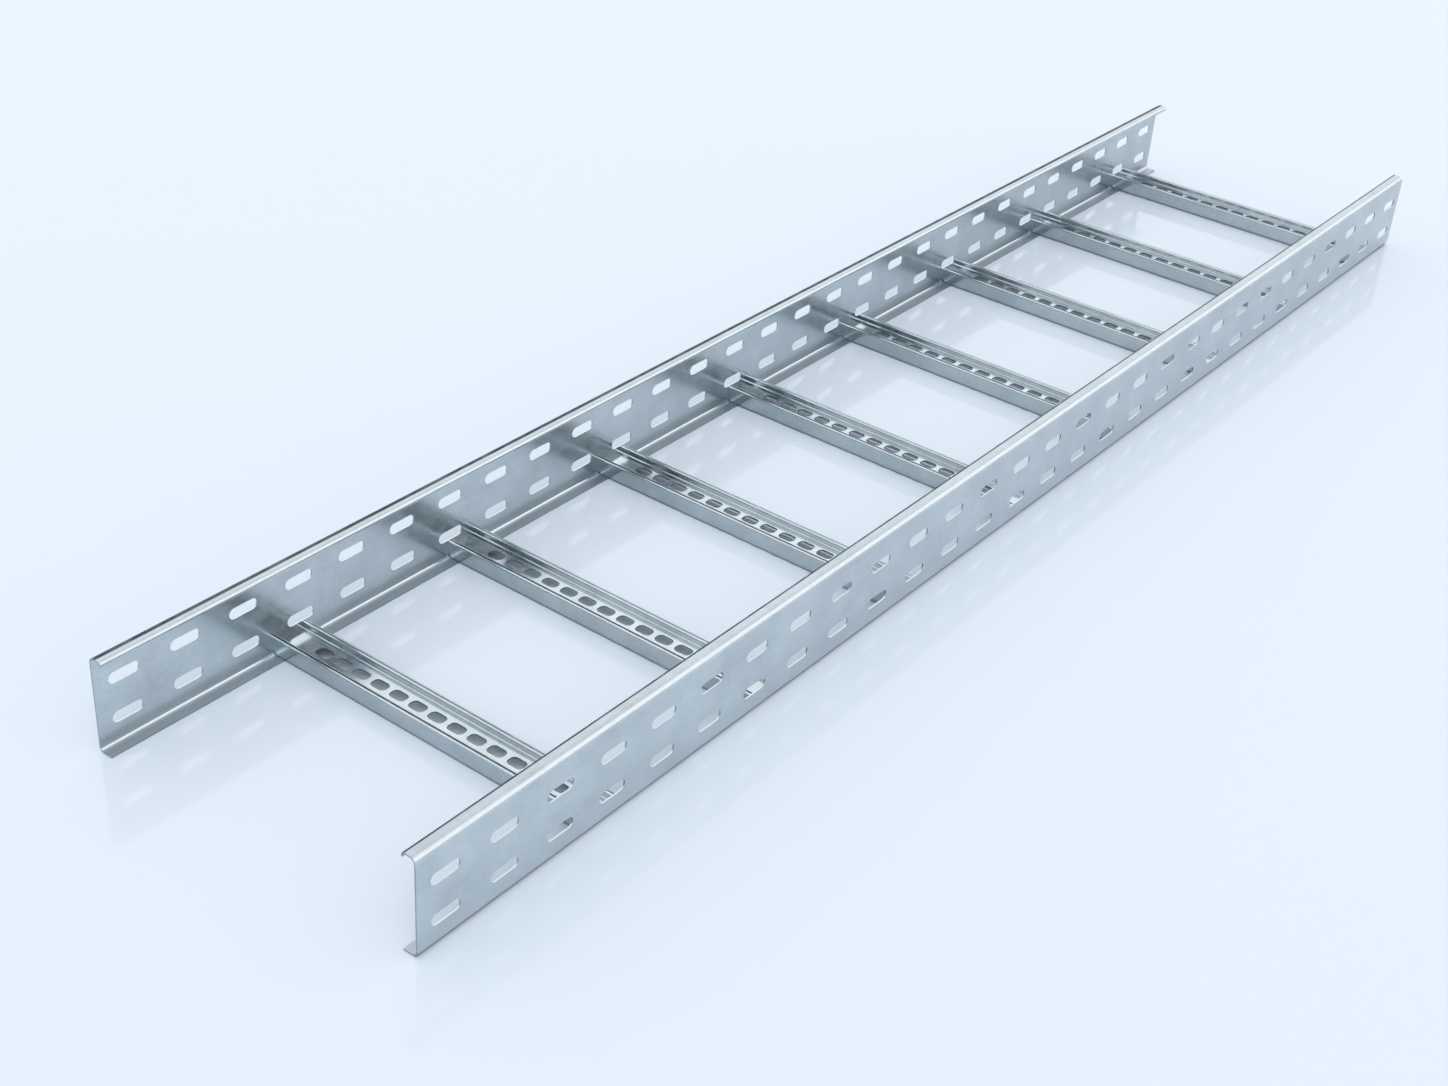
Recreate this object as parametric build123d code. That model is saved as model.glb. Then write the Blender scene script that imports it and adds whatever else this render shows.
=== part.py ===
from build123d import *
import math
import os

# A straight cable ladder section: two slotted side rails joined by perforated rungs.
# Millimetres. +X runs along the rails, +Y across them and +Z up. The origin is under
# the middle of the section, on the plane that the rails stand on.

# The whole section
section_length = 2000.0
section_width = 400.0
rail_height = 105.0

# Side rail: a web with two inward flanges, the upper one with a turned-down lip
rail_sheet = 1.5
flange_width = 16.0
lip_height = 5.5
web_bend_inside = 5.0
lip_bend_inside = 2.5

# Slots through the rail webs, in two rows. The pitch is eased to fill the length evenly.
slot_length = 34.0
slot_width = 12.0
lower_row_height = 28.0
upper_row_height = 71.0
end_slot_inset = 33.0
slot_pitch = 69.0

# Rungs and where they stand, measured from the end of the section at -X
rung_pitch = 240.0
first_rung_inset = 226.0
last_rung_clearance = 40.0

# Rung: one strip folded into a perforated plate between two ridges, whose outer walls
# run down to the rails. A narrow bead runs along the crown of each ridge.
rung_sheet = 1.5
rung_width = 44.0
rung_height = 20.0
ridge_width = 6.0
plate_depth = 7.0
crown_bend_inside = 0.5
plate_bend_inside = 1.5
bead_width = 1.5
bead_depth = 0.9

# Slots along the rung plates
rung_slot_length = 19.0
rung_slot_width = 13.0
rung_slot_corner = 5.0
rung_slot_pitch = 25.0

# Lines that both the rails and the rungs keep to
half_width = section_width / 2
start_x = -section_length / 2
rung_end_y = half_width - rail_sheet
flange_edge_y = half_width - flange_width


def rung_stations():
    """Centre lines of the rungs along X."""
    free_run = section_length - first_rung_inset - rung_width / 2 - last_rung_clearance
    count = math.floor(free_run / rung_pitch) + 1
    return [start_x + first_rung_inset + i * rung_pitch for i in range(count)]


def slot_columns():
    """Centre lines of the web slots, evenly spaced from the first column to the last."""
    run = section_length - 2 * end_slot_inset
    steps = round(run / slot_pitch)
    return [start_x + end_slot_inset + i * run / steps for i in range(steps + 1)]


def rail_section():
    """Section of the rail at -Y, bent from one strip: Y is across it from the web's outer
    face, Z up. The middle line of the strip is drawn and then given its thickness."""
    half_sheet = rail_sheet / 2
    web = half_sheet
    tip = flange_width - half_sheet
    middle = FilletPolyline(
        (flange_width, half_sheet),
        (web, half_sheet),
        (web, rail_height - half_sheet),
        (tip, rail_height - half_sheet),
        (tip, rail_height - lip_height),
        radius=[
            web_bend_inside + half_sheet,
            web_bend_inside + half_sheet,
            lip_bend_inside + half_sheet,
        ],
    )
    return trace(middle, line_width=rail_sheet)


def web_slots():
    """Outlines of all slots of one web, drawn on the XZ plane."""
    slot = SlotOverall(slot_length, slot_width)
    rows = (lower_row_height, upper_row_height)
    return [Plane.XZ * Pos(x, z) * slot for x in slot_columns() for z in rows]


def side_rail():
    """The rail at -Y, with its slots cut straight through the web."""
    end_plane = Plane(origin=(start_x, -half_width, 0), x_dir=(0, 1, 0), z_dir=(1, 0, 0))
    rail = extrude(end_plane * rail_section(), section_length)
    middle_of_web = Pos(0, -half_width + rail_sheet / 2, 0)
    cutters = [extrude(middle_of_web * slot, rail_sheet, both=True) for slot in web_slots()]
    return rail - cutters


def rung_section():
    """Section of a rung: X across it, Y up from the lower edges of its outer walls. The
    middle line of the strip is drawn, given its thickness and pressed in at the crowns."""
    half_sheet = rung_sheet / 2
    outer_wall = rung_width / 2 - half_sheet
    inner_wall = rung_width / 2 - ridge_width + half_sheet
    crown = rung_height - half_sheet
    plate = rung_height - plate_depth - half_sheet
    side = [(outer_wall, 0), (outer_wall, crown), (inner_wall, crown), (inner_wall, plate)]
    crown_radius = crown_bend_inside + half_sheet
    plate_radius = plate_bend_inside + half_sheet
    middle = FilletPolyline(
        *side,
        *[(-x, y) for x, y in reversed(side)],
        radius=[crown_radius, crown_radius, plate_radius, plate_radius, crown_radius, crown_radius],
    )
    section = trace(middle, line_width=rung_sheet)
    bead_centre = (rung_width - ridge_width) / 2
    bead = Rectangle(bead_width, 2 * bead_depth)
    return section - [Pos(x, rung_height) * bead for x in (-bead_centre, bead_centre)]


def rung_side_view():
    """Outline of a rung seen along X, with its lower corners cleared of the rails' bends."""
    half = [
        (0, rail_sheet),
        (rung_end_y - web_bend_inside, rail_sheet),
        (rung_end_y, rail_sheet + web_bend_inside),
        (rung_end_y, rail_sheet + rung_height),
    ]
    mirrored = [(-y, z) for y, z in reversed(half)]
    return Plane.YZ * make_face(Polyline(*half, *mirrored[:-1], close=True))


def rung():
    """One rung at X = 0, standing on the rails' lower flanges."""
    bar = extrude(Plane.XZ * Pos(0, rail_sheet) * rung_section(), rung_end_y, both=True)
    bar = bar & extrude(rung_side_view(), rung_width, both=True)
    per_side = math.floor((flange_edge_y - rung_slot_length / 2) / rung_slot_pitch)
    slot = RectangleRounded(rung_slot_width, rung_slot_length, rung_slot_corner)
    cutter = extrude(slot, rail_sheet + rung_height)
    return bar - [Pos(0, i * rung_slot_pitch, 0) * cutter for i in range(-per_side, per_side + 1)]


def build():
    """All pieces by node name."""
    right = side_rail()
    parts = {"side_rail_right": right, "side_rail_left": mirror(right, about=Plane.XZ)}
    one_rung = rung()
    for number, x in enumerate(rung_stations(), start=1):
        parts[f"rung_{number}"] = Pos(x, 0, 0) * one_rung
    return parts


os.makedirs("parts", exist_ok=True)
for name, shape in build().items():
    export_step(shape, f"parts/{name}.step")
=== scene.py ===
import math

import bpy
from mathutils import Matrix, Vector


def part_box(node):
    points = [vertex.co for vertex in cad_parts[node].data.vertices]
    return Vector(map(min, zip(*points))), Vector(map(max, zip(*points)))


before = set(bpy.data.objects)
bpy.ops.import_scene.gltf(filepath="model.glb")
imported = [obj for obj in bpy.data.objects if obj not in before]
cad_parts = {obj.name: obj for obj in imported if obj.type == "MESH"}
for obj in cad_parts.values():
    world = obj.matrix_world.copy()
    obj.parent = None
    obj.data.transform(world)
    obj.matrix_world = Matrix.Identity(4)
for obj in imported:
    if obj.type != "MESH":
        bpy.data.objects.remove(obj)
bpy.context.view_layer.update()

bl_info = {
    "name": "Cable Ladder Section",
    "version": (1, 1, 0),
    "blender": (4, 5, 0),
    "location": "3D View > Sidebar > Cable Ladder",
    "description": "Finishes a galvanised cable ladder section and lights it on a pale floor",
    "category": "Object",
}

RIGHT_RAIL = "side_rail_right"
LEFT_RAIL = "side_rail_left"
RUNGS = tuple(sorted(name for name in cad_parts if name.startswith("rung_")))

# Depth of the zinc's relief in metres, and how strongly its bump shows
RELIEF_DEPTH = 0.00006
RELIEF_STRENGTH = 0.2

# Round patches of the sky: the direction of the middle, and the cosines from it at the rim and
# at the core. The first is the soft light above the camera, the second the camera's own side.
KEY_PATCH = ((-0.45, -0.32, 0.83), 0.90, 0.97)
CAMERA_PATCH = ((-0.69, -0.49, 0.53), 0.94, 0.985)

# Degrees above the floor, seen along the ladder, over which the dark flag begins and ends
FLAG_RISE = (34.0, 37.0)
FLAG_FALL = (47.0, 54.0)

# Depth of a ray up to which the sky is plain, and from which its dark shapes show in full
PLAIN_DEPTH = 2.0
DARK_DEPTH = 3.0


def rung_measures():
    """Pitch of the rungs, centre line of the first, height of their tops and width of one."""
    boxes = sorted(tuple(tuple(corner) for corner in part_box(name)) for name in RUNGS)
    low, high = boxes[0]
    first = (low[0] + high[0]) / 2
    pitch = (boxes[-1][0][0] - low[0]) / (len(boxes) - 1)
    return pitch, first, high[2], high[0] - low[0]


RUNG_PITCH, FIRST_RUNG, RUNG_TOP, RUNG_WIDTH = rung_measures()
RAIL_LOW, RAIL_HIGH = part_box(RIGHT_RAIL)
HALF_WIDTH = -RAIL_LOW[1]
RAIL_HEIGHT = RAIL_HIGH[2]
HALF_LENGTH = RAIL_HIGH[0]
FLANGE_EDGE = -RAIL_HIGH[1]


class SteelSettings(bpy.types.PropertyGroup):
    """Colours and sizes of the zinc coating, of the painted light and shade on it, and of the sheet's
    bends.
    """

    rail_colour: bpy.props.FloatVectorProperty(
        name="Rail zinc", description="Colour of the rails' zinc coating", subtype="COLOR",
        size=3, min=0.0, max=1.0, default=(0.61, 0.665, 0.69))
    rung_colour: bpy.props.FloatVectorProperty(
        name="Rung zinc", description="Colour of the rungs' zinc coating", subtype="COLOR",
        size=3, min=0.0, max=1.0, default=(0.45, 0.505, 0.53))
    # Painted highlight: light lines painted on the crowns of the rails' bends
    painted_highlight_colour: bpy.props.FloatVectorProperty(
        name="Painted bend highlight", description="Colour of the crowns of the rails' bends",
        subtype="COLOR", size=3, min=0.0, max=1.0, default=(0.91, 0.94, 0.96))
    # Painted shade: the rails' webs painted darker towards the floor
    web_shade_colour: bpy.props.FloatVectorProperty(
        name="Painted web shade", description="Colour of the rails' webs towards the floor",
        subtype="COLOR", size=3, min=0.0, max=1.0, default=(0.53, 0.58, 0.62))
    # Painted shade: the rails' low flanges painted darker
    low_flange_shade_colour: bpy.props.FloatVectorProperty(
        name="Low flange shade", description="Colour of the rails' low flanges", subtype="COLOR",
        size=3, min=0.0, max=1.0, default=(0.55, 0.60, 0.64))
    # Painted light: faces that look up painted brighter
    top_light_colour: bpy.props.FloatVectorProperty(
        name="Painted top light", description="Colour of the brighter faces that look up", subtype="COLOR",
        size=3, min=0.0, max=1.0, default=(0.76, 0.82, 0.85))
    # White bloom inside the rungs; on the slots' lower walls the same colour is a painted highlight
    bloom_and_highlight_colour: bpy.props.FloatVectorProperty(
        name="Bloom and slot highlight", description="Colour of the white bloom in the rungs and on the slots' walls",
        subtype="COLOR", size=3, min=0.0, max=1.0, default=(0.90, 0.96, 0.98))
    cut_colour: bpy.props.FloatVectorProperty(
        name="Cut edge", description="Colour of sheared and punched edges", subtype="COLOR",
        size=3, min=0.0, max=1.0, default=(0.27, 0.33, 0.38))
    # Painted shade: dark lines painted along bends, in the beads and along the rungs' feet
    painted_shade_colour: bpy.props.FloatVectorProperty(
        name="Painted shade lines", description="Colour of the dull lines along bends, beads and the rungs' feet",
        subtype="COLOR", size=3, min=0.0, max=1.0, default=(0.06, 0.08, 0.10))
    rail_roughness: bpy.props.FloatProperty(
        name="Rail roughness", description="Mean roughness of the rails", subtype="FACTOR",
        min=0.0, max=1.0, default=0.22)
    rung_roughness: bpy.props.FloatProperty(
        name="Rung roughness", description="Mean roughness of the rungs", subtype="FACTOR",
        min=0.0, max=1.0, default=0.17)
    cut_roughness: bpy.props.FloatProperty(
        name="Cut roughness", description="Roughness of sheared and punched edges", subtype="FACTOR",
        min=0.0, max=1.0, default=0.38)
    spangle_size: bpy.props.FloatProperty(
        name="Spangle size", description="Width of one zinc crystal", subtype="DISTANCE",
        unit="LENGTH", default=0.006)
    web_bend_outside: bpy.props.FloatProperty(
        name="Web bend", description="Outside radius of the bends between web and flanges",
        subtype="DISTANCE", unit="LENGTH", default=0.0065)
    lip_bend_outside: bpy.props.FloatProperty(
        name="Lip bend", description="Outside radius of the bend at the lip", subtype="DISTANCE",
        unit="LENGTH", default=0.004)
    sheet: bpy.props.FloatProperty(
        name="Sheet", description="Thickness of the sheet", subtype="DISTANCE", unit="LENGTH",
        default=0.0015)
    bead_offset: bpy.props.FloatProperty(
        name="Bead offset", description="From a rung's centre line to the beads on its crowns",
        subtype="DISTANCE", unit="LENGTH", default=0.019)
    bead_width: bpy.props.FloatProperty(
        name="Bead width", description="Width of the beads on a rung's crowns",
        subtype="DISTANCE", unit="LENGTH", default=0.0015)


class StageSettings(bpy.types.PropertyGroup):
    """Floor and light."""

    floor_colour: bpy.props.FloatVectorProperty(
        name="Floor", description="Colour of the floor", subtype="COLOR",
        size=3, min=0.0, max=1.0, default=(0.74, 0.79, 0.865))
    floor_size: bpy.props.FloatProperty(
        name="Floor size", description="Width of the floor", subtype="DISTANCE",
        unit="LENGTH", default=60.0)
    floor_roughness: bpy.props.FloatProperty(
        name="Floor roughness", description="Roughness of the floor's polish", subtype="FACTOR",
        min=0.0, max=1.0, default=0.08)
    floor_coat: bpy.props.FloatProperty(
        name="Floor coat", description="Weight of the floor's clear polish", subtype="FACTOR",
        min=0.0, max=1.0, default=0.25)
    horizon_light: bpy.props.FloatProperty(
        name="Horizon light", description="Strength of the world's light at the horizon", default=0.8)
    light_colour: bpy.props.FloatVectorProperty(
        name="Light colour", description="Colour of the studio's light", subtype="COLOR",
        size=3, min=0.0, max=2.0, default=(0.95, 1.0, 1.04))
    middle_light: bpy.props.FloatProperty(
        name="Middle light", description="Strength of the world's light at 16 to 27 degrees", default=1.01)
    overhead_light: bpy.props.FloatProperty(
        name="Overhead light", description="Strength of the world's light from above", default=0.85)
    flag_colour: bpy.props.FloatVectorProperty(
        name="Flag", description="Light left by the dark flag and the dark patch", subtype="COLOR",
        size=3, min=0.0, max=1.0, default=(0.035, 0.055, 0.075))
    key_light: bpy.props.FloatProperty(
        name="Key light", description="Strength of the soft light above the camera", default=2.2)


class CameraSettings(bpy.types.PropertyGroup):
    """Where the photograph was taken from."""

    place: bpy.props.FloatVectorProperty(
        name="Place", description="The lens, in the ladder's frame", subtype="TRANSLATION",
        unit="LENGTH", size=3, default=(-1.8608, -1.0873, 1.1801))
    heading: bpy.props.FloatProperty(
        name="Heading", description="Turn of the view from +Y towards +X", subtype="ANGLE",
        unit="ROTATION", default=math.radians(54.444))
    tilt: bpy.props.FloatProperty(
        name="Tilt", description="Tilt of the view below the horizon", subtype="ANGLE",
        unit="ROTATION", default=math.radians(32.125))
    roll: bpy.props.FloatProperty(
        name="Roll", description="Turn of the camera about its view", subtype="ANGLE",
        unit="ROTATION", default=math.radians(4.262))
    lens: bpy.props.FloatProperty(
        name="Lens", description="Focal length in millimetres on a sensor 36 mm wide", default=51.153)


def new_group(name, inputs, outputs):
    """An empty shader node group with named sockets, and its input and output nodes."""
    group = bpy.data.node_groups.new(name, "ShaderNodeTree")
    for label, kind, value in inputs:
        socket = group.interface.new_socket(name=label, in_out="INPUT", socket_type=kind)
        if value is not None:
            socket.default_value = value
    for label, kind in outputs:
        group.interface.new_socket(name=label, in_out="OUTPUT", socket_type=kind)
    return group, group.nodes.new("NodeGroupInput"), group.nodes.new("NodeGroupOutput")


def put(tree, slot, value):
    """Links a socket to an input, or sets the input to a number."""
    if isinstance(value, bpy.types.NodeSocket):
        tree.links.new(value, slot)
    else:
        slot.default_value = value


def math_node(tree, operation, first, second=None, third=None):
    """A Math node whose inputs are numbers or sockets; gives its output socket."""
    node = tree.nodes.new("ShaderNodeMath")
    node.operation = operation
    for slot, value in zip(node.inputs, (first, second, third)):
        if value is not None:
            put(tree, slot, value)
    return node.outputs[0]


def ramp(tree, value, low, high, to_low=0.0, to_high=1.0, smooth=False):
    """A Map Range node that clamps; gives its output socket."""
    node = tree.nodes.new("ShaderNodeMapRange")
    if smooth:
        node.interpolation_type = "SMOOTHSTEP"
    put(tree, node.inputs["Value"], value)
    for label, number in (("From Min", low), ("From Max", high), ("To Min", to_low), ("To Max", to_high)):
        put(tree, node.inputs[label], number)
    return node.outputs["Result"]


def noise(tree, vector, scale, detail=2.0, roughness=0.5):
    """A Noise texture on the given vector; gives its value output."""
    node = tree.nodes.new("ShaderNodeTexNoise")
    tree.links.new(vector, node.inputs["Vector"])
    node.inputs["Scale"].default_value = scale
    node.inputs["Detail"].default_value = detail
    node.inputs["Roughness"].default_value = roughness
    return node.outputs["Fac"]


def axes_of(tree, vector):
    """The three components of a vector socket."""
    parts = tree.nodes.new("ShaderNodeSeparateXYZ")
    tree.links.new(vector, parts.inputs["Vector"])
    return parts.outputs["X"], parts.outputs["Y"], parts.outputs["Z"]


def total(tree, *values):
    """The sum of several sockets."""
    result = values[0]
    for value in values[1:]:
        result = math_node(tree, "ADD", result, value)
    return result


def tinted(tree, factor, first, second):
    """A colour Mix node from the first colour to the second; gives its output socket."""
    node = tree.nodes.new("ShaderNodeMix")
    node.data_type = "RGBA"
    put(tree, node.inputs["Factor"], factor)
    for slot, colour in ((node.inputs[6], first), (node.inputs[7], second)):
        if isinstance(colour, bpy.types.NodeSocket):
            tree.links.new(colour, slot)
        else:
            slot.default_value = (*colour, 1.0)
    return node.outputs[2]


def spangle_group():
    """Zinc spangle: overlapping crystals, each with a tone of its own, from two Voronoi
    fields on a vector that noise has bent, and a fine grain on top."""
    tree, source, result = new_group(
        "Zinc Spangle",
        [("Vector", "NodeSocketVector", None), ("Crystals per metre", "NodeSocketFloat", 160.0)],
        [("Tone", "NodeSocketFloat"), ("Grain", "NodeSocketFloat")])
    vector = source.outputs["Vector"]
    bend = tree.nodes.new("ShaderNodeTexNoise")
    bend.inputs["Scale"].default_value = 240.0
    tree.links.new(vector, bend.inputs["Vector"])
    mixed = tree.nodes.new("ShaderNodeMix")
    mixed.data_type = "VECTOR"
    mixed.inputs["Factor"].default_value = 0.006
    tree.links.new(vector, mixed.inputs["A"])
    tree.links.new(bend.outputs["Color"], mixed.inputs["B"])
    tones = []
    for share in (1.0, 0.57):
        cells = tree.nodes.new("ShaderNodeTexVoronoi")
        tree.links.new(mixed.outputs["Result"], cells.inputs["Vector"])
        scale = math_node(tree, "MULTIPLY", source.outputs["Crystals per metre"], share)
        tree.links.new(scale, cells.inputs["Scale"])
        parts = tree.nodes.new("ShaderNodeSeparateColor")
        tree.links.new(cells.outputs["Color"], parts.inputs["Color"])
        tones.append(parts.outputs["Red"])
    both = math_node(tree, "ADD", tones[0], tones[1])
    tree.links.new(math_node(tree, "MULTIPLY", both, 0.5), result.inputs["Tone"])
    tree.links.new(noise(tree, vector, 550.0, 4.0, 0.7), result.inputs["Grain"])
    return tree


def rolling_group():
    """Marks of the rolling mill: noise stretched along the sheet, and wide soft clouds."""
    tree, source, result = new_group(
        "Rolling Marks",
        [("Vector", "NodeSocketVector", None), ("Stretch", "NodeSocketVector", (1.0, 20.0, 20.0))],
        [("Streaks", "NodeSocketFloat"), ("Clouds", "NodeSocketFloat")])
    stretch = tree.nodes.new("ShaderNodeVectorMath")
    stretch.operation = "MULTIPLY"
    tree.links.new(source.outputs["Vector"], stretch.inputs[0])
    tree.links.new(source.outputs["Stretch"], stretch.inputs[1])
    tree.links.new(noise(tree, stretch.outputs["Vector"], 9.0, 4.0, 0.55), result.inputs["Streaks"])
    tree.links.new(noise(tree, source.outputs["Vector"], 22.0, 5.0, 0.6), result.inputs["Clouds"])
    return tree


def bend_group():
    """A line along a bend: one where the point lies on the bend's outer radius and its angle
    about the bend's axis, taken from +Z towards +Y, is within the half width of the middle
    angle, and falling to nought over a few degrees on both sides."""
    tree, source, result = new_group(
        "Bend Line",
        [("Vector", "NodeSocketVector", None), ("Axis Y", "NodeSocketFloat", 0.0),
         ("Axis Z", "NodeSocketFloat", 0.0), ("Radius", "NodeSocketFloat", 0.005),
         ("Angle", "NodeSocketFloat", 0.8), ("Half width", "NodeSocketFloat", 0.15)],
        [("Line", "NodeSocketFloat")])
    across, up = axes_of(tree, source.outputs["Vector"])[1:]
    across = math_node(tree, "SUBTRACT", across, source.outputs["Axis Y"])
    up = math_node(tree, "SUBTRACT", up, source.outputs["Axis Z"])
    turn = math_node(tree, "SUBTRACT", math_node(tree, "ARCTAN2", across, up), source.outputs["Angle"])
    beyond = math_node(tree, "SUBTRACT", math_node(tree, "ABSOLUTE", turn), source.outputs["Half width"])
    reach = math_node(tree, "SQRT", math_node(
        tree, "ADD", math_node(tree, "POWER", across, 2.0), math_node(tree, "POWER", up, 2.0)))
    off = math_node(tree, "ABSOLUTE", math_node(tree, "SUBTRACT", reach, source.outputs["Radius"]))
    line = math_node(tree, "MULTIPLY", ramp(tree, beyond, 0.0, 0.12, 1.0, 0.0), ramp(
        tree, off, 0.0003, 0.0006, 1.0, 0.0))
    tree.links.new(line, result.inputs["Line"])
    return tree


def shared_groups():
    """The node groups that the finishes use, made on first use."""
    makers = {"Zinc Spangle": spangle_group, "Rolling Marks": rolling_group, "Bend Line": bend_group}
    return {name: bpy.data.node_groups.get(name) or maker() for name, maker in makers.items()}


def use_group(tree, group, **values):
    """A node that uses a group; an input's underscores stand for spaces in its label."""
    node = tree.nodes.new("ShaderNodeGroup")
    node.node_tree = group
    for label, value in values.items():
        put(tree, node.inputs[label.replace("_", " ")], value)
    return node


class Finish:
    """A zinc-coated steel material under construction: its tree, its object coordinates, its
    surface normal and what colour, roughness and relief its layers have reached so far."""

    def __init__(self, name, steel, colour, roughness, stretch):
        self.steel = steel
        self.groups = shared_groups()
        self.material = bpy.data.materials.new(name)
        self.material.use_nodes = True
        self.tree = self.material.node_tree
        self.shader = self.tree.nodes["Principled BSDF"]
        self.shader.inputs["Metallic"].default_value = 1.0
        self.place = self.tree.nodes.new("ShaderNodeTexCoord").outputs["Object"]
        self.x, self.y, self.z = axes_of(self.tree, self.place)
        facing = self.tree.nodes.new("ShaderNodeNewGeometry").outputs["Normal"]
        self.facing_x, self.facing_y, self.facing_z = axes_of(self.tree, facing)
        self.zinc(colour, roughness, stretch)

    def zinc(self, colour, roughness, stretch):
        """Spangle, clouds, streaks and grain in colour, roughness and relief."""
        tree = self.tree
        spangle = use_group(tree, self.groups["Zinc Spangle"], Vector=self.place,
                            Crystals_per_metre=1.0 / self.steel.spangle_size)
        rolling = use_group(tree, self.groups["Rolling Marks"], Vector=self.place, Stretch=stretch)
        tone, grain = spangle.outputs["Tone"], spangle.outputs["Grain"]
        clouds, streaks = rolling.outputs["Clouds"], rolling.outputs["Streaks"]
        self.level = total(
            tree, ramp(tree, tone, 0.0, 1.0, 0.965, 1.035), ramp(tree, clouds, 0.3, 0.75, -0.08, 0.12),
            ramp(tree, streaks, 0.3, 0.7, -0.03, 0.03), ramp(tree, grain, 0.3, 0.7, -0.1, 0.1))
        self.colour = self.shaded(colour)
        self.roughness = total(
            tree, ramp(tree, tone, 0.0, 1.0, roughness - 0.03, roughness + 0.03),
            ramp(tree, clouds, 0.3, 0.75, -0.03, 0.03), ramp(tree, streaks, 0.3, 0.7, -0.01, 0.01))
        self.relief = math_node(tree, "ADD", math_node(tree, "MULTIPLY", tone, 0.4), grain)

    def shaded(self, colour):
        """A colour with the zinc's own variation; gives a socket."""
        tint = self.tree.nodes.new("ShaderNodeVectorMath")
        tint.operation = "SCALE"
        tint.inputs[0].default_value = colour
        self.tree.links.new(self.level, tint.inputs["Scale"])
        return tint.outputs["Vector"]

    def layer(self, mask, colour, roughness):
        """Lays a colour and a roughness over what is there, where the mask is one."""
        self.colour = tinted(self.tree, mask, self.colour, colour)
        mixed = self.tree.nodes.new("ShaderNodeMix")
        put(self.tree, mixed.inputs["Factor"], mask)
        put(self.tree, mixed.inputs["A"], self.roughness)
        put(self.tree, mixed.inputs["B"], roughness)
        self.roughness = mixed.outputs["Result"]

    def patchy(self, mask, scale, least):
        """A mask broken up by noise, so that a line is nowhere quite even."""
        share = ramp(self.tree, noise(self.tree, self.place, scale, 3.0, 0.6), 0.35, 0.6, least, 1.0)
        return math_node(self.tree, "MULTIPLY", mask, share)

    def bend_line(self, axis_y, axis_z, radius, degrees, half_degrees):
        """The mask of a line along one bend."""
        node = use_group(
            self.tree, self.groups["Bend Line"], Vector=self.place, Axis_Y=axis_y, Axis_Z=axis_z,
            Radius=radius, Angle=math.radians(degrees), Half_width=math.radians(half_degrees))
        return node.outputs["Line"]

    def inside(self, from_middle):
        """The faces inside a rung: those that face down, and the outer walls' inner faces."""
        tree = self.tree
        down = ramp(tree, self.facing_z, -0.8, -0.5, 1.0, 0.0)
        inward = math_node(tree, "MULTIPLY", self.facing_x, math_node(tree, "SIGN", from_middle))
        offset = math_node(tree, "ABSOLUTE", from_middle)
        outer = ramp(tree, offset, self.steel.bead_offset, self.steel.bead_offset + 0.0005)
        wall = math_node(tree, "MULTIPLY", ramp(tree, inward, -0.8, -0.5, 1.0, 0.0), outer)
        return math_node(tree, "MAXIMUM", down, wall)

    def finished(self):
        """Feeds the layers to the shader and gives the material."""
        tree = self.tree
        tree.links.new(self.colour, self.shader.inputs["Base Color"])
        tree.links.new(self.roughness, self.shader.inputs["Roughness"])
        bump = tree.nodes.new("ShaderNodeBump")
        bump.inputs["Distance"].default_value = RELIEF_DEPTH
        bump.inputs["Strength"].default_value = RELIEF_STRENGTH
        tree.links.new(self.relief, bump.inputs["Height"])
        tree.links.new(bump.outputs["Normal"], self.shader.inputs["Normal"])
        return self.material


def rail_finish(name, steel, side):
    """A rail's zinc: painted light on faces that look up, painted shade towards the floor and on the
    low flanges, painted highlight and shade lines along the bends, and its cut edges.
    The side is -1 for the right rail and 1 for the left."""
    finish = Finish(name, steel, tuple(steel.rail_colour), steel.rail_roughness, (1.0, 20.0, 20.0))
    tree = finish.tree
    bend = steel.web_bend_outside
    # Painted shade: the web painted darker towards the floor
    low = ramp(tree, finish.z, 0.008, 0.05, 0.35, 0.0, smooth=True)
    finish.layer(low, tuple(steel.web_shade_colour), steel.rail_roughness + 0.04)
    # Painted light: faces that look up, above the low bend, painted brighter
    upward = ramp(tree, finish.facing_z, 0.65, 0.9, 0.0, 0.3)
    upward = math_node(tree, "MULTIPLY", upward, ramp(tree, finish.z, bend, bend + 0.001))
    finish.layer(upward, finish.shaded(steel.top_light_colour), finish.roughness)
    # Painted shade: the low flange painted darker and duller
    foot = ramp(tree, finish.z, steel.sheet, steel.sheet + 0.002, 1.0, 0.0)
    finish.layer(foot, tuple(steel.low_flange_shade_colour), 0.42)
    rail_bend_lines(finish, steel, side)
    rail_cut_edges(finish, steel, side)
    return finish.finished()


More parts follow.
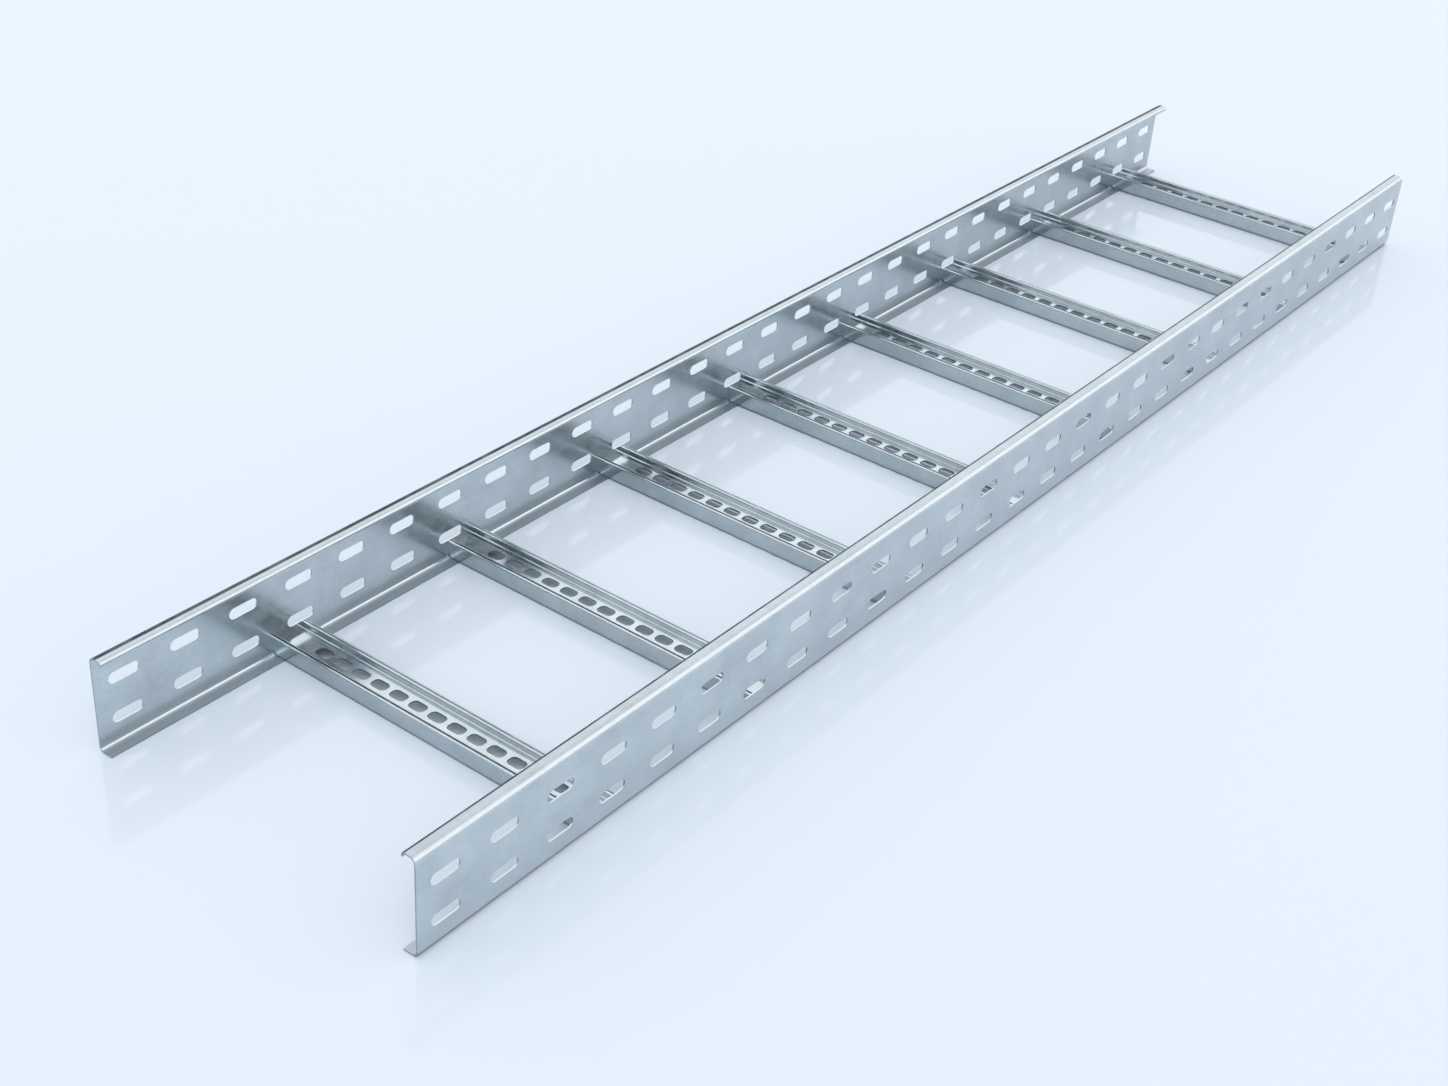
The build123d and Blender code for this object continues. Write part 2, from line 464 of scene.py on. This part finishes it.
def rail_bend_lines(finish, steel, side):
    """Painted highlight lines on the crowns of a rail's bends, and painted shade lines along the upper
    bend that faces +Y and along the outside of the lower one."""
    bend, lip = steel.web_bend_outside, steel.lip_bend_outside
    web_axis = side * (HALF_WIDTH - bend)
    lip_axis = side * (FLANGE_EDGE + lip)
    web_crown = (web_axis, RAIL_HEIGHT - bend, bend, side * 45.0, 13.0)
    low_inside = (web_axis, bend, bend - steel.sheet, side * 130.0, 6.0)
    lip_crown = (lip_axis, RAIL_HEIGHT - lip, lip, -side * 50.0, 14.0)
    # Painted highlights on the crown of the top bend, inside the low bend and on the lip's crown
    for place in (web_crown, low_inside, lip_crown):
        mask = finish.patchy(finish.bend_line(*place), 120.0, 0.8)
        finish.layer(mask, tuple(steel.painted_highlight_colour), 0.18)
    # Painted shade: a dark line along the upper bend that faces +Y (the lip on the right rail) and along
    # the outside of the low bend
    back = (web_axis, RAIL_HEIGHT - bend, bend, 24.0, 40.0)
    if side < 0:
        back = (lip_axis, RAIL_HEIGHT - lip, lip, 33.0, 29.0)
    low_outside = (web_axis, bend, bend, side * 135.0, 16.0)
    for place in (back, low_outside):
        mask = finish.patchy(finish.bend_line(*place), 60.0, 0.85)
        finish.layer(mask, tuple(steel.painted_shade_colour), 0.5)


def rail_cut_edges(finish, steel, side):
    """Dark cut faces at a rail's ends, in its slots and along the low flange, and a painted highlight
    on the slots' lower walls, which look up."""
    tree = finish.tree
    bend = steel.web_bend_outside
    flat_web = math_node(tree, "MULTIPLY", ramp(tree, finish.z, bend, bend + 0.001), ramp(
        tree, finish.z, RAIL_HEIGHT - bend - 0.001, RAIL_HEIGHT - bend, 1.0, 0.0))
    outward = math_node(tree, "MULTIPLY", finish.y, side)
    web = ramp(tree, outward, HALF_WIDTH - steel.sheet - 0.0002, HALF_WIDTH - steel.sheet - 0.0001)
    wall = ramp(tree, math_node(tree, "ABSOLUTE", finish.facing_y), 0.4, 0.6, 1.0, 0.0)
    punched = math_node(tree, "MULTIPLY", wall, math_node(tree, "MULTIPLY", flat_web, web))
    sheared = math_node(
        tree, "MULTIPLY", ramp(tree, math_node(tree, "ABSOLUTE", finish.facing_x), 0.6, 0.9),
        ramp(tree, math_node(tree, "ABSOLUTE", finish.x), HALF_LENGTH - 0.001, HALF_LENGTH - 0.0005))
    flange_end = math_node(
        tree, "MULTIPLY", ramp(tree, finish.z, steel.sheet, steel.sheet + 0.0002, 1.0, 0.0),
        ramp(tree, outward, FLANGE_EDGE + 0.0001, FLANGE_EDGE + 0.0003, 1.0, 0.0))
    edge = math_node(tree, "MAXIMUM", math_node(tree, "MAXIMUM", punched, sheared), flange_end)
    finish.layer(finish.patchy(edge, 400.0, 0.6), tuple(steel.cut_colour), steel.cut_roughness)
    # Painted highlight on the slots' lower walls, which look up
    slot_wall_highlight = math_node(tree, "MULTIPLY", punched, ramp(tree, finish.facing_z, 0.5, 0.8))
    finish.layer(slot_wall_highlight, tuple(steel.bloom_and_highlight_colour), steel.cut_roughness)


def rung_finish(name, steel):
    """A rung's zinc: painted light on faces that look up, painted shade in the beads and along the
    foot, dark on punched walls, and dry white inside under the plate."""
    finish = Finish(name, steel, tuple(steel.rung_colour), steel.rung_roughness, (20.0, 1.0, 20.0))
    tree = finish.tree
    along = math_node(tree, "ADD", finish.x, RUNG_PITCH / 2 - FIRST_RUNG)
    within = math_node(tree, "WRAP", along, RUNG_PITCH, 0.0)
    offset = math_node(tree, "ABSOLUTE", math_node(tree, "SUBTRACT", within, RUNG_PITCH / 2))
    beside = math_node(tree, "ABSOLUTE", math_node(tree, "SUBTRACT", offset, steel.bead_offset))
    bead = math_node(tree, "MULTIPLY", ramp(
        tree, beside, steel.bead_width / 2, steel.bead_width / 2 + 0.0005, 1.0, 0.0), ramp(
        tree, finish.z, RUNG_TOP - 0.0012, RUNG_TOP - 0.0010))
    # Painted light: faces that look up painted brighter
    upward = ramp(tree, finish.facing_z, 0.5, 0.8)
    finish.layer(upward, finish.shaded(steel.top_light_colour), finish.roughness)
    # Painted shade in the beads on the rungs' crowns
    finish.layer(finish.patchy(bead, 80.0, 0.75), tuple(steel.painted_shade_colour), 0.55)
    # Painted shade along the rungs' feet
    foot = ramp(tree, finish.z, steel.sheet, steel.sheet + 0.003, 0.7, 0.0)
    finish.layer(foot, tuple(steel.painted_shade_colour), 0.45)
    inside = finish.inside(math_node(tree, "SUBTRACT", within, RUNG_PITCH / 2))
    finish.layer(inside, tuple(steel.bloom_and_highlight_colour), 0.7)
    tree.links.new(ramp(tree, inside, 0.0, 1.0, 1.0, 0.0), finish.shader.inputs["Metallic"])
    upright = ramp(tree, math_node(tree, "ABSOLUTE", finish.facing_z), 0.4, 0.6, 1.0, 0.0)
    inner = ramp(tree, offset, RUNG_WIDTH / 4, RUNG_WIDTH / 4 + 0.001, 1.0, 0.0)
    finish.layer(finish.patchy(math_node(tree, "MULTIPLY", upright, inner), 400.0, 0.6),
                 tuple(steel.cut_colour), steel.cut_roughness)
    return finish.finished()


def dress(node_name, material):
    """Puts one material on every material slot of a node of the frame."""
    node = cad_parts[node_name]
    if not node.material_slots:
        node.data.materials.append(material)
    for slot in node.material_slots:
        slot.material = material


class LADDER_OT_side_rails(bpy.types.Operator):
    """Finish both slotted side rails."""

    bl_idname = "ladder.side_rails"
    bl_label = "Side rails"

    def execute(self, context):
        steel = context.scene.ladder_steel
        dress(RIGHT_RAIL, rail_finish("galvanised rail right", steel, -1))
        dress(LEFT_RAIL, rail_finish("galvanised rail left", steel, 1))
        return {"FINISHED"}


class LADDER_OT_rungs(bpy.types.Operator):
    """Finish the perforated rungs."""

    bl_idname = "ladder.rungs"
    bl_label = "Rungs"

    def execute(self, context):
        material = rung_finish("galvanised rung", context.scene.ladder_steel)
        for name in RUNGS:
            dress(name, material)
        return {"FINISHED"}


class LADDER_OT_stage(bpy.types.Operator):
    """Make the floor, the light and the camera."""

    bl_idname = "ladder.stage"
    bl_label = "Stage"

    def execute(self, context):
        self.floor(context.scene.ladder_stage)
        self.world(context.scene.ladder_stage)
        self.camera(context.scene.ladder_camera)
        context.scene.view_settings.view_transform = "Standard"
        return {"FINISHED"}

    def floor(self, stage):
        """One pale polished floor, level with what the rails stand on."""
        half = stage.floor_size / 2
        mesh = bpy.data.meshes.new("floor")
        corners = [(-half, -half, 0.0), (half, -half, 0.0), (half, half, 0.0), (-half, half, 0.0)]
        mesh.from_pydata(corners, [], [(0, 1, 2, 3)])
        floor = bpy.data.objects.new("floor", mesh)
        bpy.context.scene.collection.objects.link(floor)
        material = bpy.data.materials.new("pale floor")
        material.use_nodes = True
        shader = material.node_tree.nodes["Principled BSDF"]
        shader.inputs["Base Color"].default_value = (*stage.floor_colour, 1.0)
        shader.inputs["Roughness"].default_value = stage.floor_roughness
        shader.inputs["Coat Weight"].default_value = stage.floor_coat
        shader.inputs["Coat Roughness"].default_value = stage.floor_roughness
        mesh.materials.append(material)

    def world(self, stage):
        """A soft sky, least bright at the horizon, with a soft light above the camera and a dark
        patch on the camera's side. Along the ladder's right side hangs a dark flag: a band of
        the angle that a direction makes with the floor, seen along the ladder, which starts
        ahead of the camera. Both dark shapes show only from the second mirror image on, where
        one sheet reflects another, so that the floor stays plain."""
        world = bpy.data.worlds.new("studio")
        bpy.context.scene.world = world
        world.use_nodes = True
        tree = world.node_tree
        tree.nodes.clear()
        output = tree.nodes.new("ShaderNodeOutputWorld")
        light = tree.nodes.new("ShaderNodeBackground")
        x, y, z = axes_of(tree, tree.nodes.new("ShaderNodeTexCoord").outputs["Generated"])
        sky = ramp(tree, z, 0.0, 0.28, stage.horizon_light, stage.middle_light, smooth=True)
        top = stage.overhead_light - stage.middle_light
        sky = total(tree, sky, ramp(tree, z, 0.45, 0.85, 0.0, top, smooth=True))
        angle = math_node(tree, "ARCTAN2", z, math_node(tree, "MULTIPLY", y, -1.0))
        ahead = ramp(tree, x, 0.25, 0.45, smooth=True)
        flag = self.band(tree, angle, ahead, FLAG_RISE, FLAG_FALL)
        key = self.patch(tree, (x, y, z), *KEY_PATCH)
        sky = total(tree, sky, math_node(tree, "MULTIPLY", key, stage.key_light))
        dark = self.patch(tree, (x, y, z), *CAMERA_PATCH)
        depth = tree.nodes.new("ShaderNodeLightPath").outputs["Ray Depth"]
        flag = math_node(tree, "MULTIPLY", math_node(tree, "MAXIMUM", flag, dark), ramp(
            tree, depth, PLAIN_DEPTH, DARK_DEPTH))
        tree.links.new(sky, light.inputs["Strength"])
        colour = tinted(tree, flag, tuple(stage.light_colour), tuple(stage.flag_colour))
        tree.links.new(colour, light.inputs["Color"])
        tree.links.new(light.outputs["Background"], output.inputs["Surface"])

    def patch(self, tree, direction, middle, rim, core):
        """One about the middle of a round patch of the sky and nought outside it, with a soft
        rim between two cosines from the middle."""
        near = total(tree, *(math_node(tree, "MULTIPLY", part, share)
                             for part, share in zip(direction, middle)))
        return ramp(tree, near, rim, core, smooth=True)

    def band(self, tree, angle, ahead, rise, fall):
        """One between two angles in degrees, with soft sides, and only ahead of the camera."""
        up = ramp(tree, angle, math.radians(rise[0]), math.radians(rise[1]), smooth=True)
        down = ramp(tree, angle, math.radians(fall[0]), math.radians(fall[1]), 1.0, 0.0, smooth=True)
        return math_node(tree, "MULTIPLY", math_node(tree, "MULTIPLY", up, down), ahead)

    def camera(self, view):
        """The photograph's camera: heading, tilt and roll turn its axes."""
        ahead = Vector((math.sin(view.heading) * math.cos(view.tilt),
                        math.cos(view.heading) * math.cos(view.tilt), -math.sin(view.tilt)))
        level = Vector((math.cos(view.heading), -math.sin(view.heading), 0.0))
        upright = level.cross(ahead)
        right = math.cos(view.roll) * level + math.sin(view.roll) * upright
        up = right.cross(ahead)
        data = bpy.data.cameras.new("camera")
        data.lens = view.lens
        data.sensor_width = 36.0
        camera = bpy.data.objects.new("camera", data)
        axes = Matrix((right, up, -ahead)).transposed()
        camera.matrix_world = Matrix.Translation(view.place) @ axes.to_4x4()
        bpy.context.scene.collection.objects.link(camera)
        bpy.context.scene.camera = camera


class LADDER_PT_panel(bpy.types.Panel):
    """Lists the ladder's operators and settings."""

    bl_idname = "LADDER_PT_panel"
    bl_label = "Cable Ladder"
    bl_space_type = "VIEW_3D"
    bl_region_type = "UI"
    bl_category = "Cable Ladder"

    def draw(self, context):
        for operator in OPERATORS:
            self.layout.operator(operator.bl_idname)
        for settings in SETTINGS:
            group = getattr(context.scene, settings)
            for label in group.bl_rna.properties.keys():
                if label not in ("rna_type", "name"):
                    self.layout.prop(group, label)


SETTINGS = {"ladder_steel": SteelSettings, "ladder_stage": StageSettings, "ladder_camera": CameraSettings}
OPERATORS = (LADDER_OT_side_rails, LADDER_OT_rungs, LADDER_OT_stage)


def register():
    for cls in (*SETTINGS.values(), *OPERATORS, LADDER_PT_panel):
        bpy.utils.register_class(cls)
    for name, cls in SETTINGS.items():
        setattr(bpy.types.Scene, name, bpy.props.PointerProperty(type=cls))


def unregister():
    for name in SETTINGS:
        delattr(bpy.types.Scene, name)
    for cls in reversed((*SETTINGS.values(), *OPERATORS, LADDER_PT_panel)):
        bpy.utils.unregister_class(cls)


def main():
    register()
    bpy.ops.ladder.stage()
    bpy.ops.ladder.side_rails()
    bpy.ops.ladder.rungs()


if __name__ == "__main__":
    main()
